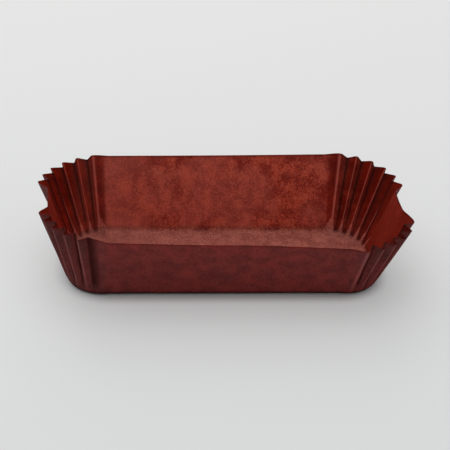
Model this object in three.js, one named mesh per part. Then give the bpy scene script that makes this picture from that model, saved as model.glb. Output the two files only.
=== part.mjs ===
// Rectangular paper baking mold: one sheet of greaseproof paper pressed into a tray.
// Millimetres, +Z up, long side along X, origin in the middle of the underside.

import * as THREE from 'three';

// Flat base, out to the line where the wall plane meets the floor plane
const baseLength = 100;
const baseWidth = 38;
const baseCornerRadius = 13;

// Wall, with its height measured along the slope
const wallSlant = 26;
const bottomFoldRadius = 2.2;
const paperThickness = 0.12;

// The flat sheet lay a little off the middle of the press, so the wall is not the same all round
const sheetShiftX = -0.3;
const sheetShiftY = 0.45;
const sheetTwist = 0.4;

// Outward lean of the wall in degrees, counter-clockwise from the right-hand end.
// The soft sheet has opened a little more on the right than on the left.
const rightLeanAngle = 20.5;
const backRightLeanAngle = 22.5;
const backLeanAngle = 20.5;
const backLeftLeanAngle = 22.5;
const leftLeanAngle = 18.5;
const frontLeftLeanAngle = 16.5;
const frontLeanAngle = 19;
const frontRightLeanAngle = 23;

// Fan of folds at each corner: crests point outward, valleys point inward
const flutesPerCorner = 6;
const fluteDepth = 2.8;
const fluteGrowth = 0.6;
const crestRise = 0.4;
const crestSharpness = 0.87;
const valleySharpness = 0.99;

// Outermost crests of the fans, in degrees from the end panel and from the side panel
const backRightCrestAngle = 10;
const backLeftCrestAngle = 11.5;
const frontLeftCrestAngle = 10.5;
const frontRightCrestAngle = 16;
const sideCrestAngle = 13.5;

// Height of the crest beside the side panel; at the front left it has been pressed in with the panel
const sideCrestLevel = 1;
const frontLeftSideCrestLevel = -0.7;

// The end panels are pressed in about as far as the valleys, and every panel bends gently
// toward its nearest crest
const endPanelLevel = -1.2;
const panelEase = 1.4;

// How much of the way from a corner middle to a panel middle the fan takes
const fanShareAtEnd = 0.67;
const fanShareAtSide = 0.29;

// How finely the curved parts are divided
const panelSteps = 6;
const panelBendShares = [0.35, 0.65, 0.85];
const foldEdgeShare = 1 / 6;
const bottomFoldSteps = 5;
const wallSteps = 4;

const paperColour = 0x6e2b25;
const paperRoughness = 0.62;

const radians = THREE.MathUtils.degToRad;
const quarterTurn = 90;

const leanAngles = [
  rightLeanAngle,
  backRightLeanAngle,
  backLeanAngle,
  backLeftLeanAngle,
  leftLeanAngle,
  frontLeftLeanAngle,
  frontLeanAngle,
  frontRightLeanAngle,
];

// Smooth blend of the leans; a place of 0 is the right end, each 1 is an eighth further
function leanAt(place) {
  const count = leanAngles.length;
  const wrapped = ((place % count) + count) % count;
  const index = Math.floor(wrapped);
  const blend = 0.5 - 0.5 * Math.cos(Math.PI * (wrapped - index));
  const next = leanAngles[(index + 1) % count];
  return radians(THREE.MathUtils.lerp(leanAngles[index], next, blend));
}

// Height of the wall along its slope, on the side that faces this way
function slantAt(facing) {
  const shift = sheetShiftX * Math.cos(facing) + sheetShiftY * Math.sin(facing);
  return wallSlant + shift + sheetTwist * Math.sin(2 * facing);
}

// Zigzag between -1 and 1, with rounded crests and sharper valleys, 1 at a quarter turn
function foldWave(turn) {
  const height = Math.sin(turn);
  const sharpness = height > 0 ? crestSharpness : valleySharpness;
  return Math.asin(sharpness * height) / Math.asin(sharpness);
}

// Strips of a fan from the end panel to the side panel, each with its angle and its zigzag:
// several at each panel bend and three at every fold
function fanStrips(endCrestAngle, lastLevel) {
  const strips = [];
  for (const share of [0, ...panelBendShares]) {
    const rise = foldWave((Math.PI / 2) * share ** panelEase);
    strips.push({
      angle: endCrestAngle * share,
      zigzag: THREE.MathUtils.lerp(endPanelLevel, 1, rise),
    });
  }
  const halfFlutes = 2 * (flutesPerCorner - 1);
  const halfPitch = (quarterTurn - endCrestAngle - sideCrestAngle) / halfFlutes;
  for (let fold = 0; fold <= halfFlutes; fold += 1) {
    for (const edge of [-foldEdgeShare, 0, foldEdgeShare]) {
      const along = fold + edge;
      if (along >= 0 && along <= halfFlutes) {
        const wave = foldWave(Math.PI * (along + 0.5));
        const isLast = along > halfFlutes - 1;
        strips.push({
          angle: endCrestAngle + along * halfPitch,
          zigzag: isLast ? THREE.MathUtils.lerp(-1, lastLevel, (wave + 1) / 2) : wave,
        });
      }
    }
  }
  for (const share of [...panelBendShares].reverse().concat(0)) {
    strips.push({
      angle: quarterTurn - sideCrestAngle * share,
      zigzag: lastLevel * foldWave((Math.PI / 2) * share ** panelEase),
    });
  }
  return strips;
}

// Stations round the sheet, counter-clockwise: where each strip starts and how it leans.
// A fan's last strip is also the first of the panel that follows it.
function makeStations() {
  const centreX = baseLength / 2 - baseCornerRadius;
  const centreY = baseWidth / 2 - baseCornerRadius;
  const corners = [
    { x: centreX, y: centreY, strips: fanStrips(backRightCrestAngle, sideCrestLevel) },
    { x: -centreX, y: centreY, strips: fanStrips(backLeftCrestAngle, sideCrestLevel) },
    { x: -centreX, y: -centreY, strips: fanStrips(frontLeftCrestAngle, frontLeftSideCrestLevel) },
    { x: centreX, y: -centreY, strips: fanStrips(frontRightCrestAngle, sideCrestLevel) },
  ];
  const stations = [];
  corners.forEach(({ x, y, strips }, corner) => {
    const fromEnd = corner % 2 === 0;
    const ordered = fromEnd ? strips : strips.reverse();
    for (const { angle, zigzag } of ordered.slice(0, -1)) {
      const share = angle < quarterTurn / 2 ? fanShareAtEnd : fanShareAtSide;
      const turned = fromEnd ? angle : quarterTurn - angle;
      stations.push({
        x,
        y,
        facing: radians(quarterTurn * corner + turned),
        lean: leanAt(2 * corner + 1 + share * ((2 * turned) / quarterTurn - 1)),
        zigzag,
      });
    }
    const next = corners[(corner + 1) % corners.length];
    const fanShare = fromEnd ? fanShareAtSide : fanShareAtEnd;
    for (let step = 0; step < panelSteps; step += 1) {
      const along = step / panelSteps;
      stations.push({
        x: THREE.MathUtils.lerp(x, next.x, along),
        y: THREE.MathUtils.lerp(y, next.y, along),
        facing: radians(quarterTurn * (corner + 1)),
        lean: leanAt(2 * corner + 2 + (1 - fanShare) * (2 * along - 1)),
        zigzag: fromEnd ? 0 : endPanelLevel,
      });
    }
  });
  return stations;
}

// Point on the outer face of the sheet; ring 0 is the edge of the flat floor
function outerPoint(station, ring) {
  const { x, y, facing, lean, zigzag } = station;
  const bendAngle = Math.PI / 2 - lean;
  const bendReach = bottomFoldRadius * Math.tan(bendAngle / 2);
  let outward;
  let height;
  if (ring <= bottomFoldSteps) {
    const turned = (bendAngle * ring) / bottomFoldSteps;
    outward = bottomFoldRadius * Math.sin(turned) - bendReach;
    height = bottomFoldRadius * (1 - Math.cos(turned));
  } else {
    const climbed = (ring - bottomFoldSteps) / wallSteps;
    const slant = THREE.MathUtils.lerp(bendReach, slantAt(facing) + crestRise * zigzag, climbed);
    const offset = 0.5 * fluteDepth * zigzag * climbed ** fluteGrowth;
    outward = slant * Math.sin(lean) + offset * Math.cos(lean);
    height = slant * Math.cos(lean) - offset * Math.sin(lean);
  }
  const reach = baseCornerRadius + outward;
  return new THREE.Vector3(x + reach * Math.cos(facing), y + reach * Math.sin(facing), height);
}

// Outer rings from the floor to the rim, and inner rings one paper thickness inside them
function makeRings(stations) {
  const ringCount = bottomFoldSteps + wallSteps + 1;
  const outer = [];
  for (let ring = 0; ring < ringCount; ring += 1) {
    outer.push(stations.map((station) => outerPoint(station, ring)));
  }
  const inner = outer.map((points, ring) => points.map((point, index) => {
    if (ring === 0) return new THREE.Vector3(point.x, point.y, point.z + paperThickness);
    const count = points.length;
    const along = points[(index + 1) % count].clone().sub(points[(index + count - 1) % count]);
    const above = outer[Math.min(ring + 1, ringCount - 1)][index];
    const below = outer[ring - 1][index];
    const inward = above.clone().sub(below).cross(along).normalize();
    return point.clone().addScaledVector(inward, paperThickness);
  }));
  return { outer, inner };
}

// Closed body of the sheet: both floors, both wall faces and the cut edge at the rim
function makeSheet() {
  const stations = makeStations();
  const { outer, inner } = makeRings(stations);
  const count = stations.length;
  const positions = [...outer, ...inner].flat().flatMap((point) => point.toArray());
  const innerStart = outer.length * count;
  const faces = [];

  const floorOutline = outer[0].map((point) => new THREE.Vector2(point.x, point.y));
  for (const [a, b, c] of THREE.ShapeUtils.triangulateShape(floorOutline, [])) {
    faces.push(a, c, b);
    faces.push(innerStart + a, innerStart + b, innerStart + c);
  }

  const addBand = (lowerStart, upperStart) => {
    for (let index = 0; index < count; index += 1) {
      const next = (index + 1) % count;
      faces.push(lowerStart + index, lowerStart + next, upperStart + next);
      faces.push(lowerStart + index, upperStart + next, upperStart + index);
    }
  };
  for (let ring = 0; ring < outer.length - 1; ring += 1) {
    addBand(ring * count, (ring + 1) * count);
    addBand(innerStart + (ring + 1) * count, innerStart + ring * count);
  }
  const rimRing = outer.length - 1;
  addBand(rimRing * count, innerStart + rimRing * count);

  const geometry = new THREE.BufferGeometry();
  geometry.setAttribute('position', new THREE.Float32BufferAttribute(positions, 3));
  geometry.setIndex(faces);
  geometry.computeVertexNormals();
  return geometry;
}

const paper = new THREE.MeshStandardMaterial({
  color: paperColour,
  roughness: paperRoughness,
  metalness: 0,
});

const mold = new THREE.Mesh(makeSheet(), paper);
mold.name = 'paper_mold';

const group = new THREE.Group();
group.add(mold);

export default group;
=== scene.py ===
import math

import bmesh
import bpy
from mathutils import Matrix, Vector


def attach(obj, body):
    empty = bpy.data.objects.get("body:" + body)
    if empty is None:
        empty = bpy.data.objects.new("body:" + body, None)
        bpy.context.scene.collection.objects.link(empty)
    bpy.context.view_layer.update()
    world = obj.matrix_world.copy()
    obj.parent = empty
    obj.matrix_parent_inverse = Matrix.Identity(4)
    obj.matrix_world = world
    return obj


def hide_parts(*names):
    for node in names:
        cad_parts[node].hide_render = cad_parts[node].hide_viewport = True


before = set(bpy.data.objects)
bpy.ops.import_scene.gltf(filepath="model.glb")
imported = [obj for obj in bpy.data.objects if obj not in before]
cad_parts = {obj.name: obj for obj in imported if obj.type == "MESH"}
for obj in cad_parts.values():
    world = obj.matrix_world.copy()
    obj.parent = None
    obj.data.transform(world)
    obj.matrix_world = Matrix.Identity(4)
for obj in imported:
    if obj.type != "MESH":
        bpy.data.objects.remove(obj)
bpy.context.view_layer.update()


# Camera
# A short telephoto view from the front, a little left of the middle and about thirty degrees up.
# It is rolled slightly, so that the front edge of the base lies level in the picture.

CAMERA_AZIMUTH = math.radians(-6.5)
CAMERA_ELEVATION = math.radians(31.8)
CAMERA_ROLL = math.radians(3.5)
CAMERA_DISTANCE = 0.420
CAMERA_TARGET = Vector((0.0007, 0.0, 0.0145))
CAMERA_LENS = 102.8
CAMERA_SENSOR = 36.0
CAMERA_CLIP = 0.01


def add_camera():
    back = Vector((
        math.sin(CAMERA_AZIMUTH) * math.cos(CAMERA_ELEVATION),
        -math.cos(CAMERA_AZIMUTH) * math.cos(CAMERA_ELEVATION),
        math.sin(CAMERA_ELEVATION),
    ))
    turn = (-back).to_track_quat("-Z", "Y").to_matrix().to_4x4()
    bpy.ops.object.camera_add(location=(0, 0, 0))
    camera = bpy.context.object
    camera.name = "camera"
    camera.data.lens = CAMERA_LENS
    camera.data.sensor_width = CAMERA_SENSOR
    camera.data.clip_start = CAMERA_CLIP
    camera.matrix_world = (
        Matrix.Translation(CAMERA_TARGET + back * CAMERA_DISTANCE)
        @ turn
        @ Matrix.Rotation(CAMERA_ROLL, 4, "Z")
    )
    bpy.context.scene.camera = camera


add_camera()


# Paper sheet
# One sheet of red-brown greaseproof paper, die-pressed from flat. Its base and four walls stay plain,
# and the surplus paper at each corner is gathered into a fan of flutes. Inside it is brighter and
# redder, with painted light and painted sheen on its base; outside it is duller, darker and a little
# purple, its own tone with painted shade and painted sheen in it. On both sides its crests carry a
# painted highlight and its valleys painted shade.

BASE_LENGTH = 0.100
BASE_WIDTH = 0.038
CORNER_RADIUS = 0.013
WALL_SLANT = 0.026
BOTTOM_FOLD_RADIUS = 0.0022
PAPER_THICKNESS = 0.00012

# The flat sheet lay a little off the middle of the press, so the wall is not the same all round,
# and at the back its rim rises to the right
SHEET_SHIFT_X = -0.0003
SHEET_SHIFT_Y = 0.00045
SHEET_TWIST = 0.0004
BACK_RIM_LIFT = 0.0001
BACK_RIM_TILT = 0.0005

FLUTES_PER_CORNER = 6
FLUTE_DEPTH = 0.0028
FLUTE_GROWTH = 0.6
CREST_RISE = 0.0004
CREST_SHARPNESS = 0.62
VALLEY_SHARPNESS = 0.99

# Where the outermost folds of each fan lie, in degrees from the end panel and from the side panel,
# with the fans counter-clockwise from the back right
END_CREST_ANGLE = (10.0, 11.5, 10.5, 16.0)
SIDE_CREST_ANGLE = 13.5
SIDE_CREST_LEVEL = (1.0, 1.0, -0.7, 1.0)
END_PANEL_LEVEL = -1.2
PANEL_EASE = 1.4

# How much fuller than a plain arc the bottom fold is at each corner, in the same order
CORNER_FULLNESS = (0.0, 0.0, 0.0012, 0.0013)

# Outward lean in degrees, counter-clockwise from the right-hand end, at eighths of the way round,
# and how much of each eighth the fans take next to the end panels and next to the side panels
WALL_LEAN = (20.5, 22.5, 20.5, 22.5, 18.5, 16.5, 19.0, 23.0)
END_SHARE = 0.67
SIDE_SHARE = 0.29

# How finely the tray is divided, and how it is laid out before it is folded
STEPS_PER_HALF_FLUTE = 8
STEPS_AT_PANEL_BEND = 8
PANEL_STEP = 0.0016
BEND_STEPS = 8
WALL_STEPS = 26
UPRIGHT_BEND = 0.004
FLOOR_INSET = 0.004
FLOOR_RINGS = 3
SMOOTH_ANGLE = math.radians(50)

# Lengths shorter than this count as none, and angles seen from above are in degrees
SLACK = 1e-5
QUARTER_TURN = 90
FULL_TURN = 360

CENTRE_X = BASE_LENGTH / 2 - CORNER_RADIUS
CENTRE_Y = BASE_WIDTH / 2 - CORNER_RADIUS
HALF_FLUTES = 2 * (FLUTES_PER_CORNER - 1)
CORNER_STEPS = HALF_FLUTES * STEPS_PER_HALF_FLUTE + 2 * STEPS_AT_PANEL_BEND


def select_edges(mesh_object, wanted):
    """Selects the edges whose middle and direction pass the test, and nothing else."""
    bpy.ops.mesh.select_mode(type="EDGE")
    bpy.ops.mesh.select_all(action="DESELECT")
    edit = bmesh.from_edit_mesh(mesh_object.data)
    for edge in edit.edges:
        start, end = (vertex.co for vertex in edge.verts)
        edge.select_set(wanted((start + end) / 2, end - start))
    bmesh.update_edit_mesh(mesh_object.data)


def add_upright_tray():
    """The sheet as a tray with upright plain walls, cut into the strips that are then folded."""
    bpy.ops.object.select_all(action="DESELECT")
    bpy.ops.mesh.primitive_plane_add(size=1, location=(0, 0, 0))
    tray = bpy.context.object
    tray.scale = (BASE_LENGTH, BASE_WIDTH, 1)
    bpy.ops.object.transform_apply(location=False, rotation=False, scale=True)
    bpy.ops.object.mode_set(mode="EDIT")
    bpy.ops.mesh.select_all(action="SELECT")
    bpy.ops.mesh.bevel(offset=CORNER_RADIUS, segments=CORNER_STEPS, affect="VERTICES",
                       clamp_overlap=False)
    bpy.ops.mesh.select_all(action="SELECT")
    bpy.ops.mesh.delete(type="ONLY_FACE")
    for panel in (2 * CENTRE_X, 2 * CENTRE_Y):
        select_edges(tray, lambda middle, along: abs(along.length - panel) < SLACK)
        bpy.ops.mesh.subdivide(number_cuts=round(panel / PANEL_STEP))

    bpy.ops.mesh.select_all(action="SELECT")
    bpy.ops.mesh.extrude_region_move(TRANSFORM_OT_translate={"value": (0, 0, UPRIGHT_BEND)})
    bpy.ops.mesh.extrude_region_move(TRANSFORM_OT_translate={"value": (0, 0, WALL_SLANT)})
    select_edges(tray, lambda middle, along: abs(along.z) > SLACK and middle.z < UPRIGHT_BEND)
    bpy.ops.mesh.subdivide(number_cuts=BEND_STEPS - 1)
    select_edges(tray, lambda middle, along: abs(along.z) > WALL_SLANT / 2)
    bpy.ops.mesh.subdivide(number_cuts=WALL_STEPS - 1)

    select_edges(tray, lambda middle, along: middle.z < SLACK and abs(along.z) < SLACK)
    bpy.ops.mesh.edge_face_add()
    for ring in range(FLOOR_RINGS):
        bpy.ops.mesh.inset(thickness=FLOOR_INSET, depth=0)
    bpy.ops.object.mode_set(mode="OBJECT")
    return tray


def lean_at(place):
    """Smooth blend of the named leans; each whole place is an eighth of the way round.

    Place 0 is the middle of the right end, 2 of the back, 4 of the left end and 6 of the front.
    """
    count = len(WALL_LEAN)
    index = math.floor(place)
    blend = 0.5 - 0.5 * math.cos(math.pi * (place - index))
    here = WALL_LEAN[index % count]
    following = WALL_LEAN[(index + 1) % count]
    return math.radians(here + (following - here) * blend)


def fold_wave(turn):
    """Zigzag between -1 and 1 with rounded crests and sharper valleys."""
    height = math.sin(turn)
    sharpness = CREST_SHARPNESS if height > 0 else VALLEY_SHARPNESS
    return math.asin(sharpness * height) / math.asin(sharpness)


def corner_strip(share, end_crest, last_level):
    """Angle and zigzag of a strip, with the same number of strips in every half flute."""
    step = share * CORNER_STEPS
    last = CORNER_STEPS - STEPS_AT_PANEL_BEND
    if step < STEPS_AT_PANEL_BEND:
        along = step / STEPS_AT_PANEL_BEND
        level = fold_wave(math.pi / 2 * along ** PANEL_EASE)
        return end_crest * along, END_PANEL_LEVEL + (1 - END_PANEL_LEVEL) * level
    if step > last:
        along = (CORNER_STEPS - step) / STEPS_AT_PANEL_BEND
        level = fold_wave(math.pi / 2 * along ** PANEL_EASE)
        return QUARTER_TURN - SIDE_CREST_ANGLE * along, last_level * level
    folds = (step - STEPS_AT_PANEL_BEND) / STEPS_PER_HALF_FLUTE
    angle = end_crest + (QUARTER_TURN - SIDE_CREST_ANGLE - end_crest) * folds / HALF_FLUTES
    wave = fold_wave(math.pi * (folds + 0.5))
    if folds > HALF_FLUTES - 1:
        wave = -1 + (last_level + 1) * (wave + 1) / 2
    return angle, wave


def station_at(point):
    """What a strip of the upright tray becomes: its centre, facing, lean and zigzag."""
    side_x = math.copysign(1, point.x)
    side_y = math.copysign(1, point.y)
    over_x = abs(point.x) - CENTRE_X
    over_y = abs(point.y) - CENTRE_Y
    if over_x > SLACK and over_y > SLACK:
        turned = math.degrees(math.atan2(over_y, over_x))
        corner = {(1, 1): 1, (-1, 1): 3, (-1, -1): 5, (1, -1): 7}[(side_x, side_y)]
        angle, zigzag = corner_strip(max(0.0, turned / QUARTER_TURN), END_CREST_ANGLE[corner // 2],
                                     SIDE_CREST_LEVEL[corner // 2])
        facing = math.atan2(side_y * math.sin(math.radians(angle)),
                            side_x * math.cos(math.radians(angle)))
        share = END_SHARE if angle < QUARTER_TURN / 2 else SIDE_SHARE
        place = corner + side_x * side_y * share * (2 * angle / QUARTER_TURN - 1)
        return side_x * CENTRE_X, side_y * CENTRE_Y, facing, lean_at(place), zigzag
    if over_x > SLACK:
        place = (0 if side_x > 0 else 4) + side_x * (1 - END_SHARE) * point.y / CENTRE_Y
        facing = 0 if side_x > 0 else math.pi
        return side_x * CENTRE_X, point.y, facing, lean_at(place), END_PANEL_LEVEL
    place = (2 if side_y > 0 else 6) - side_y * (1 - SIDE_SHARE) * point.x / CENTRE_X
    return point.x, side_y * CENTRE_Y, side_y * math.pi / 2, lean_at(place), 0


def slant_at(facing, place_x):
    """Height of the wall along its slope, where it faces this way at this place along the mold."""
    plain = (WALL_SLANT + SHEET_SHIFT_X * math.cos(facing) + SHEET_SHIFT_Y * math.sin(facing)
             + SHEET_TWIST * math.sin(2 * facing))
    return plain + max(0.0, math.sin(facing)) * (BACK_RIM_LIFT + BACK_RIM_TILT * place_x / CENTRE_X)


def fullness_at(facing):
    """How much further out than a plain arc the bottom fold lies, at the middle of a corner most."""
    corner = math.floor(math.degrees(facing) % FULL_TURN / QUARTER_TURN) % len(CORNER_FULLNESS)
    return CORNER_FULLNESS[corner] * abs(math.sin(2 * facing))


def folded(point):
    """Where a point of the upright tray lies once the sheet is pressed and fluted."""
    centre_x, centre_y, facing, lean, zigzag = station_at(point)
    bend = math.pi / 2 - lean
    bend_reach = BOTTOM_FOLD_RADIUS * math.tan(bend / 2)
    if point.z < UPRIGHT_BEND + SLACK:
        turned = bend * point.z / UPRIGHT_BEND
        outward = BOTTOM_FOLD_RADIUS * math.sin(turned) - bend_reach + fullness_at(facing)
        height = BOTTOM_FOLD_RADIUS * (1 - math.cos(turned))
    else:
        climbed = (point.z - UPRIGHT_BEND) / WALL_SLANT
        top = slant_at(facing, centre_x) + CREST_RISE * zigzag
        slant = bend_reach + (top - bend_reach) * climbed
        offset = 0.5 * FLUTE_DEPTH * zigzag * climbed ** FLUTE_GROWTH
        outward = slant * math.sin(lean) + offset * math.cos(lean)
        outward += fullness_at(facing) * (1 - climbed)
        height = slant * math.cos(lean) - offset * math.sin(lean)
    reach = CORNER_RADIUS + outward
    return Vector((centre_x + reach * math.cos(facing), centre_y + reach * math.sin(facing), height))


def fan_share(point):
    """0 on the panels, 1 in the fans, and rising between them where a panel bends."""
    over_x = abs(point.x) - CENTRE_X
    over_y = abs(point.y) - CENTRE_Y
    if over_x < SLACK or over_y < SLACK:
        return 0.0
    step = math.degrees(math.atan2(over_y, over_x)) / QUARTER_TURN * CORNER_STEPS
    from_end = (step - STEPS_AT_PANEL_BEND) / STEPS_PER_HALF_FLUTE
    from_side = (CORNER_STEPS - step) / STEPS_AT_PANEL_BEND
    return min(1.0, max(0.0, from_end), from_side)


def on_flat_base(point):
    """Whether the point lies on the floor of the tray, inside the outline where the fold begins."""
    beyond_x = max(abs(point.x) - CENTRE_X, 0)
    beyond_y = max(abs(point.y) - CENTRE_Y, 0)
    return point.z < SLACK and math.hypot(beyond_x, beyond_y) < CORNER_RADIUS - FLOOR_INSET / 2


def fold_sheet(tray):
    """Moves every point to its folded place and keeps, for the finish, how it was folded."""
    crest = tray.data.attributes.new("crest", "FLOAT", "POINT")
    fan = tray.data.attributes.new("fan", "FLOAT", "POINT")
    climb = tray.data.attributes.new("climb", "FLOAT", "POINT")
    for vertex in tray.data.vertices:
        if not on_flat_base(vertex.co):
            share = fan_share(vertex.co)
            *_, zigzag = station_at(vertex.co)
            crest.data[vertex.index].value = zigzag if share > 0 else 0.0
            fan.data[vertex.index].value = share
            climb.data[vertex.index].value = max(0.0, (vertex.co.z - UPRIGHT_BEND) / WALL_SLANT)
            vertex.co = folded(vertex.co)


def thicken(sheet):
    """Gives the sheet its paper thickness, inward, and smooth faces between its sharp folds."""
    bpy.ops.object.mode_set(mode="EDIT")
    bpy.ops.mesh.select_all(action="SELECT")
    bpy.ops.mesh.normals_make_consistent(inside=False)
    bpy.ops.object.mode_set(mode="OBJECT")
    wall = sheet.modifiers.new("thickness", "SOLIDIFY")
    wall.thickness = PAPER_THICKNESS
    wall.offset = -1
    wall.use_even_offset = True
    bpy.ops.object.modifier_apply(modifier=wall.name)
    bpy.ops.object.shade_smooth_by_angle(angle=SMOOTH_ANGLE)


def mark_inner_skin(sheet, outer_count):
    """Stores which points are on the inner skin; they come after the outer ones."""
    inside = sheet.data.attributes.new("inside", "FLOAT", "POINT")
    for index in range(outer_count, len(sheet.data.vertices)):
        inside.data[index].value = 1.0


sheet = add_upright_tray()
sheet.name = "paper_sheet"
fold_sheet(sheet)
outer_count = len(sheet.data.vertices)
thicken(sheet)
mark_inner_skin(sheet, outer_count)
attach(sheet, "root")
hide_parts("paper_mold")

# Colours of the paper, inside, at the ends, on the base and outside, and of the light through it
INNER_DARK_COLOUR = (0.225, 0.023, 0.016, 1)
INNER_LIGHT_COLOUR = (0.535, 0.100, 0.058, 1)
# Painted shade: the ends and the bends into them are darker inside
END_SHADE_COLOUR = (0.200, 0.018, 0.008, 1)
# Painted light and painted sheen: the base is paler and pinker than the walls
LIT_BASE_COLOUR = (0.580, 0.166, 0.126, 1)
# Outside, the paper's own tone with painted shade and painted sheen in it, darker and a little purple
OUTER_COLOUR = (0.085, 0.0370, 0.0365, 1)
# Painted highlight along the crests outside
OUTER_CREST_HIGHLIGHT_COLOUR = (0.270, 0.100, 0.095, 1)
# Pale patches at random, painted light to the left, and a painted highlight along the crests inside
PALE_AND_PAINTED_LIGHT_COLOUR = (0.56, 0.16, 0.12, 1)
# Painted shade in the valleys, fans, panel bends, pockets and at the foot, and the dark cut edge along
# the rim
SHADE_AND_CUT_EDGE_COLOUR = (0.032, 0.003, 0.002, 1)
LIT_THROUGH_COLOUR = (0.88, 0.16, 0.06, 1)
TRANSLUCENT_SHARE = 0.34
PAPER_ROUGHNESS = 0.6
PAPER_SHINE = 0.15
FIBRE_RELIEF = 0.12
FIBRE_HEIGHT = 0.0001

# Noises of the paper, each with its scale, detail and roughness, and the range that is used of each
CLOUDS = (240, 3, 0.6)
GRAIN = (1400, 2, 0.7)
GRAIN_SHARE = 0.8
CLOUD_RANGE = (0.70, 1.10)
FIBRES = (2600, 2, 0.5)
FIBRE_RANGE = (0.32, 0.68)
HAZE = (60, 2, 0.5)

# Tones of a mottled colour, as factors of its red and of the rest: a dark fibre in a dark cloud and in
# a light one, and a light fibre in a dark cloud and in a light one. The last is one tone alone, of the
# light that comes through a dark cloud.
INNER_TONES = ((0.66, 0.25), (0.74, 0.38), (1.36, 2.60), (1.26, 1.95))
OUTER_TONES = ((0.72, 0.56), (0.90, 0.82), (1.08, 1.14), (1.28, 1.50))
BASE_TONES = ((0.56, 0.42), (0.86, 0.74), (0.98, 1.02), (1.36, 1.60))
LIT_THROUGH_TONE = (0.7, 0.6)

# Shades, each with the place where it starts, the place where it is full, and its strength if it is
# less than 1. CREST shades go by the zigzag, FAN shades by the bend from a panel into its fan, CLIMB
# shades by the way up the wall, and X, Y and Z shades by the place on the mold.
# The PALE_CREST shades place painted highlight, PALE_LEFT_X and BASE_Z painted light, and the
# DARK_CREST, DARK_FAN, FOOT, END, FAN, BEND and POCKET shades painted shade. The HAZE shade gives pale
# patches at random, and CUT_EDGE the dark cut edge.
FOLDED_CLIMB = (0.0, 0.2)
OUTER_PALE_CREST = (0.84, 1.0, 0.85)
OUTER_DARK_CREST = (-0.42, -0.92, 0.95)
OUTER_DARK_FAN = (0.72, 1.0)
FOOT_Z = (1.2 * BOTTOM_FOLD_RADIUS, 0.15 * BOTTOM_FOLD_RADIUS)
HAZE_SHADE = (0.42, 0.62, 0.38)
PALE_LEFT_X = (-0.010, -0.042, 0.55)
END_PANEL_X = (0.046, 0.051, 0.9)
END_BEND_X = (0.044, 0.049)
END_BEND_FAN = (1.0, 0.70, 0.75)
INNER_FAN = (0.1, 0.65, 0.72)
SIDE_BEND_FAN = (0.15, 0.50)
SIDE_BEND_CREST_FAN = (0.98, 0.80, 0.55)
INNER_PALE_CREST = (0.90, 1.0, 0.9)
INNER_PALE_FAN = (0.75, 0.95)
INNER_DARK_CREST = (-0.80, -0.97, 0.8)
POCKET_Y = (-0.013, -0.019)
POCKET_CREST = (-0.6, -0.2)
POCKET_FAN = (0.8, 1.0)
POCKET_CLIMB = (0.55, 0.85)
BASE_Z = (0.0011, 0.0001, 0.85)
CUT_EDGE_CLIMB = (0.962, 0.985, 0.6)

# How much higher the painted light on the base reaches along a crest, and how much the painted shade
# of the outer grooves, the foot and the pockets darkens the light that comes through
BASE_RISE_AT_CREST = 0.0042
GROOVE_THROUGH = 0.55
FOOT_THROUGH = 0.8
POCKET_THROUGH = 0.2

# Sockets of the colour mixing node
MIX_SHARE, MIX_FIRST, MIX_SECOND, MIX_RESULT = 0, 6, 7, 2


def node_adder(material):
    """Empties the material and returns the function that adds a node to it, set and linked."""
    material.use_nodes = True
    nodes = material.node_tree.nodes
    links = material.node_tree.links
    nodes.clear()

    def add(kind, settings=(), inputs=()):
        node = nodes.new(kind)
        for name, value in dict(settings).items():
            setattr(node, name, value)
        for socket, value in dict(inputs).items():
            if isinstance(value, bpy.types.NodeSocket):
                links.new(value, node.inputs[socket])
            else:
                node.inputs[socket].default_value = value
        return node

    return add


def maths(add, operation, *inputs):
    return add("ShaderNodeMath", {"operation": operation}, dict(enumerate(inputs))).outputs[0]


def product(add, first, *others):
    """The shades multiplied, so that the result is full only where all of them are."""
    for other in others:
        first = maths(add, "MULTIPLY", first, other)
    return first


def shade(add, value, start, full, strength=1.0):
    """0 where the value is at its start, rising smoothly to the strength where it is full."""
    return add("ShaderNodeMapRange", {"interpolation_type": "SMOOTHSTEP"}, {
        "Value": value, "From Min": start, "From Max": full,
        "To Min": 0.0, "To Max": strength}).outputs["Result"]


def blended(add, share, first, second):
    """The first colour where the share is 0 and the second where it is 1."""
    return add("ShaderNodeMix", {"data_type": "RGBA"}, {
        MIX_SHARE: share, MIX_FIRST: first, MIX_SECOND: second}).outputs[MIX_RESULT]


def toned(colour, red_factor, rest_factor):
    red, green, blue, alpha = colour
    return red * red_factor, green * rest_factor, blue * rest_factor, alpha


def mottled(add, on, dark, light, tones):
    """A colour that changes between its dark and light by the clouds and the fibres of the paper."""
    shades = [toned(colour, *tone) for colour, tone in zip((dark, light, dark, light), tones)]
    return blended(add, on["fibre_light"],
                   blended(add, on["cloud_light"], shades[0], shades[1]),
                   blended(add, on["cloud_light"], shades[2], shades[3]))


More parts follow.
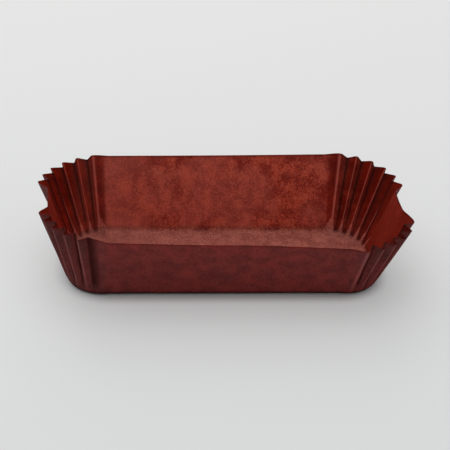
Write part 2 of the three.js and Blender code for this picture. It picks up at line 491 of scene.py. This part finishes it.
def read_sheet(add):
    """What the colours go by: how and where a spot was folded, the noises of the paper there, and
    where the painted shade of the foot, the outer grooves and the pockets lies.
    """
    place = add("ShaderNodeTexCoord").outputs["Object"]
    along = add("ShaderNodeSeparateXYZ", {}, {0: place}).outputs
    on = {"x": along["X"], "y": along["Y"], "z": along["Z"]}
    for name in ("inside", "crest", "fan", "climb"):
        on[name] = add("ShaderNodeAttribute", {"attribute_name": name}).outputs["Fac"]
    for name, (scale, detail, roughness) in (
            ("clouds", CLOUDS), ("grain", GRAIN), ("fibres", FIBRES), ("haze", HAZE)):
        on[name] = add("ShaderNodeTexNoise", {}, {
            "Vector": place, "Scale": scale, "Detail": detail,
            "Roughness": roughness}).outputs["Fac"]
    cloudy = maths(add, "MULTIPLY_ADD", on["grain"], GRAIN_SHARE, on["clouds"])
    on["cloud_light"] = shade(add, cloudy, *CLOUD_RANGE)
    on["fibre_light"] = shade(add, on["fibres"], *FIBRE_RANGE)
    on["folded"] = shade(add, on["climb"], *FOLDED_CLIMB)
    on["ends"] = maths(add, "ABSOLUTE", on["x"])
    on["foot"] = shade(add, on["z"], *FOOT_Z)
    on["outer_groove_shade"] = product(
        add, shade(add, on["crest"], *OUTER_DARK_CREST), on["folded"],
        shade(add, on["fan"], *OUTER_DARK_FAN))
    on["pocket_shade"] = product(
        add, shade(add, on["y"], *POCKET_Y), shade(add, on["crest"], *POCKET_CREST),
        shade(add, on["fan"], *POCKET_FAN), shade(add, on["climb"], *POCKET_CLIMB))
    return on


def outer_tint(add, on):
    """Dull purple-brown, with painted shade and painted sheen in it, a painted highlight on the
    crests, and painted shade in the valleys and at the foot.
    """
    tint = mottled(add, on, OUTER_COLOUR, OUTER_COLOUR, OUTER_TONES)
    # Painted highlight on the crests outside
    highlight = product(add, shade(add, on["crest"], *OUTER_PALE_CREST), on["folded"])
    tint = blended(add, highlight, tint, OUTER_CREST_HIGHLIGHT_COLOUR)
    # Painted shade in the valleys and at the foot
    tint = blended(add, on["outer_groove_shade"], tint, SHADE_AND_CUT_EDGE_COLOUR)
    return blended(add, on["foot"], tint, SHADE_AND_CUT_EDGE_COLOUR)


def inner_tint(add, on):
    """Red-brown and cloudy, with pale patches at random, painted light that makes it paler to the left
    and on the base, painted shade that darkens the ends, fans, panel bends, valleys and pockets, and a
    painted highlight on the crests.
    """
    tint = mottled(add, on, INNER_DARK_COLOUR, INNER_LIGHT_COLOUR, INNER_TONES)
    tint = blended(add, shade(add, on["haze"], *HAZE_SHADE), tint, PALE_AND_PAINTED_LIGHT_COLOUR)
    # Painted light: paler to the left
    tint = blended(add, shade(add, on["x"], *PALE_LEFT_X), tint, PALE_AND_PAINTED_LIGHT_COLOUR)
    # Painted shade on the end panels
    tint = blended(add, shade(add, on["ends"], *END_PANEL_X), tint, END_SHADE_COLOUR)
    # Painted shade in the fans and at the side bends
    tint = blended(add, shade(add, on["fan"], *INNER_FAN), tint, SHADE_AND_CUT_EDGE_COLOUR)

    at_end = shade(add, on["ends"], *END_BEND_X)
    side_bend_shade = product(
        add, shade(add, on["fan"], *SIDE_BEND_FAN), shade(add, on["fan"], *SIDE_BEND_CREST_FAN),
        shade(add, at_end, 1.0, 0.0))
    tint = blended(add, side_bend_shade, tint, SHADE_AND_CUT_EDGE_COLOUR)
    end_bend_shade = product(add, shade(add, on["fan"], *END_BEND_FAN), at_end)
    tint = blended(add, end_bend_shade, tint, END_SHADE_COLOUR)

    # Painted highlight on the crests inside, then painted shade in the valleys and pockets
    highlight = product(add, shade(add, on["crest"], *INNER_PALE_CREST), on["folded"],
                   shade(add, on["fan"], *INNER_PALE_FAN))
    tint = blended(add, highlight, tint, PALE_AND_PAINTED_LIGHT_COLOUR)
    tint = blended(add, shade(add, on["crest"], *INNER_DARK_CREST), tint, SHADE_AND_CUT_EDGE_COLOUR)
    tint = blended(add, on["pocket_shade"], tint, SHADE_AND_CUT_EDGE_COLOUR)

    # Painted light and painted sheen on the base, reaching higher along the crests
    above_valley = maths(add, "MAXIMUM", on["crest"], 0.0)
    base_height = maths(add, "MULTIPLY_ADD", above_valley, -BASE_RISE_AT_CREST, on["z"])
    return blended(add, shade(add, base_height, *BASE_Z), tint,
                   mottled(add, on, LIT_BASE_COLOUR, LIT_BASE_COLOUR, BASE_TONES))


def through_tint(add, on):
    """Bright red-orange light through the paper, with painted shade that darkens it in the grooves, at
    the foot and in pockets.
    """
    tint = blended(add, on["cloud_light"], toned(LIT_THROUGH_COLOUR, *LIT_THROUGH_TONE),
                   LIT_THROUGH_COLOUR)
    for shaded, share in (
            ("outer_groove_shade", GROOVE_THROUGH), ("foot", FOOT_THROUGH), ("pocket_shade", POCKET_THROUGH)):
        tint = blended(add, product(add, on[shaded], share), tint, SHADE_AND_CUT_EDGE_COLOUR)
    return tint


def make_paper():
    """Paper that is seen partly by the light on it and partly by the light through it."""
    material = bpy.data.materials.new("greaseproof_paper")
    add = node_adder(material)
    on = read_sheet(add)
    tint = blended(add, on["inside"], outer_tint(add, on), inner_tint(add, on))
    tint = blended(add, shade(add, on["climb"], *CUT_EDGE_CLIMB), tint, SHADE_AND_CUT_EDGE_COLOUR)
    relief = add("ShaderNodeBump", {}, {
        "Height": on["fibres"], "Strength": FIBRE_RELIEF, "Distance": FIBRE_HEIGHT})
    surface = add("ShaderNodeBsdfPrincipled", {}, {
        "Base Color": tint, "Roughness": PAPER_ROUGHNESS, "Specular IOR Level": PAPER_SHINE,
        "Normal": relief.outputs["Normal"]})
    through = add("ShaderNodeBsdfTranslucent", {}, {"Color": through_tint(add, on)})
    mix = add("ShaderNodeMixShader", {}, {
        0: TRANSLUCENT_SHARE, 1: surface.outputs["BSDF"], 2: through.outputs["BSDF"]})
    add("ShaderNodeOutputMaterial", {}, {"Surface": mix.outputs[0]})
    return material


sheet.data.materials.clear()
sheet.data.materials.append(make_paper())


# Floor
# A plain pale table top, matt and far wider than the view, painted a touch brighter toward the back as
# painted light. It takes the soft shadow of the mold, which is darkest along the line where the base
# stands on it. Beyond that line a glow that only the camera sees lifts the shadow, as painted light.

FLOOR_HALF = 4.0
# The floor is painted a touch brighter toward the back, as painted light
FLOOR_NEAR_COLOUR = (0.780, 0.790, 0.790, 1)
FLOOR_FAR_COLOUR = (0.805, 0.810, 0.805, 1)
# A glow that only the camera sees, painted light that lifts the shadow beyond the base
FLOOR_GLOW_SHARE = 0.41
FLOOR_GLOW_START = 0.006
FLOOR_GLOW_STRENGTH = 0.9
FLOOR_DEPTH = (-0.10, 0.14)
FLOOR_ROUGHNESS = 0.9
FLOOR_SHINE = 0.1


def make_pale_table():
    """Pale and dull, and painted a touch brighter toward the back. To the camera part of it glows
    evenly, painted light that keeps the mold's shadow soft.
    """
    material = bpy.data.materials.new("pale_table")
    add = node_adder(material)
    place = add("ShaderNodeTexCoord").outputs["Object"]
    depth = add("ShaderNodeSeparateXYZ", {}, {0: place}).outputs["Y"]
    depth_near, depth_far = FLOOR_DEPTH
    back = add("ShaderNodeMapRange", {}, {
        "Value": depth, "From Min": depth_near, "From Max": depth_far}).outputs["Result"]
    colour = blended(add, back, FLOOR_NEAR_COLOUR, FLOOR_FAR_COLOUR)
    surface = add("ShaderNodeBsdfPrincipled", {}, {
        "Base Color": colour, "Roughness": FLOOR_ROUGHNESS, "Specular IOR Level": FLOOR_SHINE})

    # The painted glow starts at the outline of the base, so the line of contact stays dark
    mirrored = add("ShaderNodeVectorMath", {"operation": "ABSOLUTE"}, {0: place}).outputs[0]
    beyond = add("ShaderNodeVectorMath", {"operation": "SUBTRACT"}, {
        0: mirrored, 1: (CENTRE_X, CENTRE_Y, 0)}).outputs[0]
    beyond = add("ShaderNodeVectorMath", {"operation": "MAXIMUM"}, {
        0: beyond, 1: (0, 0, 0)}).outputs[0]
    away = add("ShaderNodeVectorMath", {"operation": "LENGTH"}, {0: beyond}).outputs["Value"]
    share = shade(add, away, CORNER_RADIUS, CORNER_RADIUS + FLOOR_GLOW_START, FLOOR_GLOW_SHARE)
    seen = add("ShaderNodeLightPath").outputs["Is Camera Ray"]
    share = product(add, seen, share)
    haze = add("ShaderNodeEmission", {}, {"Color": colour, "Strength": FLOOR_GLOW_STRENGTH}).outputs[0]
    mix = add("ShaderNodeMixShader", {}, {0: share, 1: surface.outputs["BSDF"], 2: haze})
    add("ShaderNodeOutputMaterial", {}, {"Surface": mix.outputs[0]})
    return material


def add_floor():
    bpy.ops.object.select_all(action="DESELECT")
    bpy.ops.mesh.primitive_plane_add(size=2 * FLOOR_HALF, location=(0, 0, 0))
    floor = bpy.context.object
    floor.name = "floor"
    floor.data.materials.append(make_pale_table())


add_floor()


# Light
# One very broad soft light overhead, a low one behind the mold, and an even pale room. The low one
# comes through the thin walls and makes them glow a little.

TOP_LAMP = {"place": Vector((-0.42, 0.30, 1.30)), "size": 2.0, "watts": 12.0}
BACK_LAMP = {"place": Vector((-0.10, 1.10, 0.45)), "size": 1.0, "watts": 6.0}
ROOM_STRENGTH = 0.45


def add_lamp(name, place, size, watts):
    bpy.ops.object.light_add(type="AREA", location=place)
    lamp = bpy.context.object
    lamp.name = name
    lamp.data.shape = "SQUARE"
    lamp.data.size = size
    lamp.data.energy = watts
    lamp.rotation_mode = "QUATERNION"
    lamp.rotation_quaternion = (-place).to_track_quat("-Z", "Y")


def add_light():
    add_lamp("top_softbox", **TOP_LAMP)
    add_lamp("back_softbox", **BACK_LAMP)
    world = bpy.data.worlds.new("room")
    world.use_nodes = True
    background = world.node_tree.nodes["Background"]
    background.inputs["Color"].default_value = (1, 1, 1, 1)
    background.inputs["Strength"].default_value = ROOM_STRENGTH
    bpy.context.scene.world = world
    bpy.context.scene.view_settings.view_transform = "Standard"


add_light()
